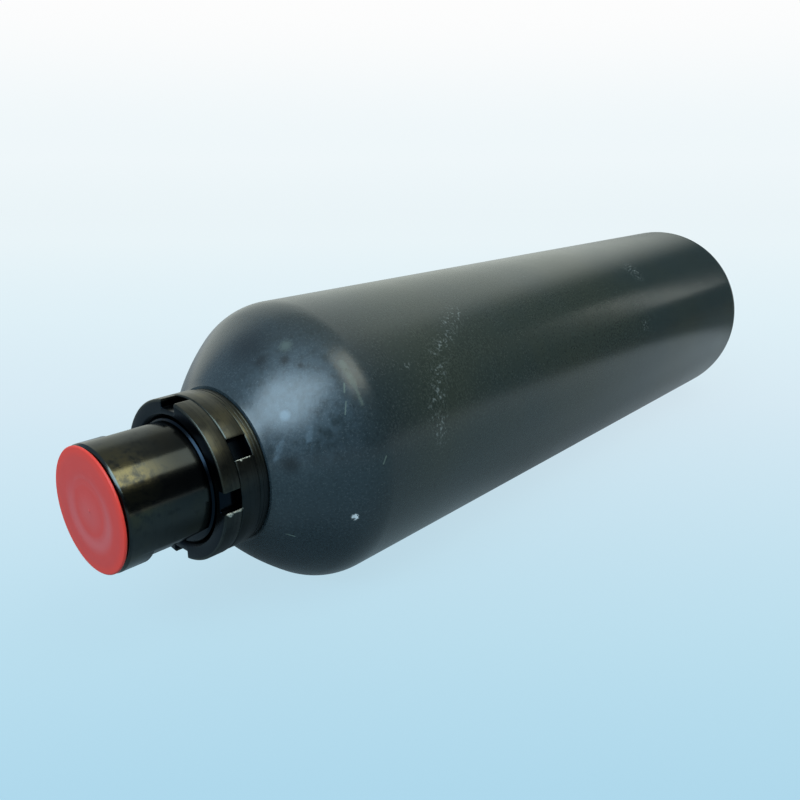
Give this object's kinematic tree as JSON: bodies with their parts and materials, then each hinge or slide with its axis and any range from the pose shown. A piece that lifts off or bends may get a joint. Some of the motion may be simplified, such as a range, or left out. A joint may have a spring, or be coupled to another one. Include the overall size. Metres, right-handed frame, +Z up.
{
  "type": "bladder accumulator",
  "caption": "Bladder accumulator: domed steel shell with a rubber bladder, a gas valve at one end and a plugged fluid port with slotted ring nuts at the other.",
  "frame": {"origin": "centre of the port body's end face", "axes": "+X along the vessel's axis from the fluid port to the gas valve, +Z up, the vessel lying on its side"},
  "size_m": [0.6875, 0.1519, 0.152],
  "materials": {
    "shell_paint": "dark slate grey paint, satin, fine grain",
    "black_steel": "turned steel, blackened and oiled",
    "red_plastic": "matte moulded polyethylene",
    "plated_steel": "zinc plated",
    "machined_steel": "machined, bare",
    "spring_steel": "oiled spring wire",
    "brass": "turned",
    "bronze": "sintered bearing bronze",
    "seal_rubber": "nitrile, satin",
    "bladder_rubber": "moulded nitrile, matt",
    "white_plastic": "PTFE",
    "black_plastic": "moulded cap"
  },
  "bodies": {
    "vessel": {"shell": "shell_paint", "port_body": "black_steel", "front_slotted_nut": "black_steel", "rear_slotted_nut": "black_steel", "spacer_ring": "black_steel", "port_plug": "red_plastic", "bleed_screw": "plated_steel", "bleed_seal": "seal_rubber", "bladder": "bladder_rubber", "bladder_stem": "plated_steel", "stem_seal_ring": "seal_rubber", "stem_washer": "plated_steel", "stem_lock_nut": "plated_steel", "valve_guard_cap": "plated_steel", "port_backup_ring": "white_plastic", "port_o_ring": "seal_rubber", "port_seal_washer": "machined_steel", "support_ring_rubber": "seal_rubber", "support_ring_half_a": "machined_steel", "support_ring_half_b": "machined_steel", "guide_bush": "bronze", "poppet_spring": "spring_steel", "gas_valve_body": "brass", "gas_valve_seal": "seal_rubber", "valve_core_body": "brass", "valve_core_spring": "spring_steel", "gas_valve_cap": "black_plastic"},
    "poppet_valve": {"poppet": "machined_steel", "poppet_stop_washer": "plated_steel", "poppet_lock_nut": "plated_steel"},
    "gas_valve_pin": {"valve_core_pin": "brass"}
  },
  "joints": [
    {"name": "poppet_slide", "type": "slide", "parent": "vessel", "child": "poppet_valve", "axis": [1, 0, 0], "range_m": [-0.01, 0], "stiffness_N_per_m": 2000, "springref_m": 0.01, "deforming": ["poppet_spring"]},
    {"name": "gas_pin_slide", "type": "slide", "parent": "vessel", "child": "gas_valve_pin", "axis": [1, 0, 0], "range_m": [-0.0015, 0], "stiffness_N_per_m": 400, "springref_m": 0.002, "deforming": ["valve_core_spring"]}
  ]
}
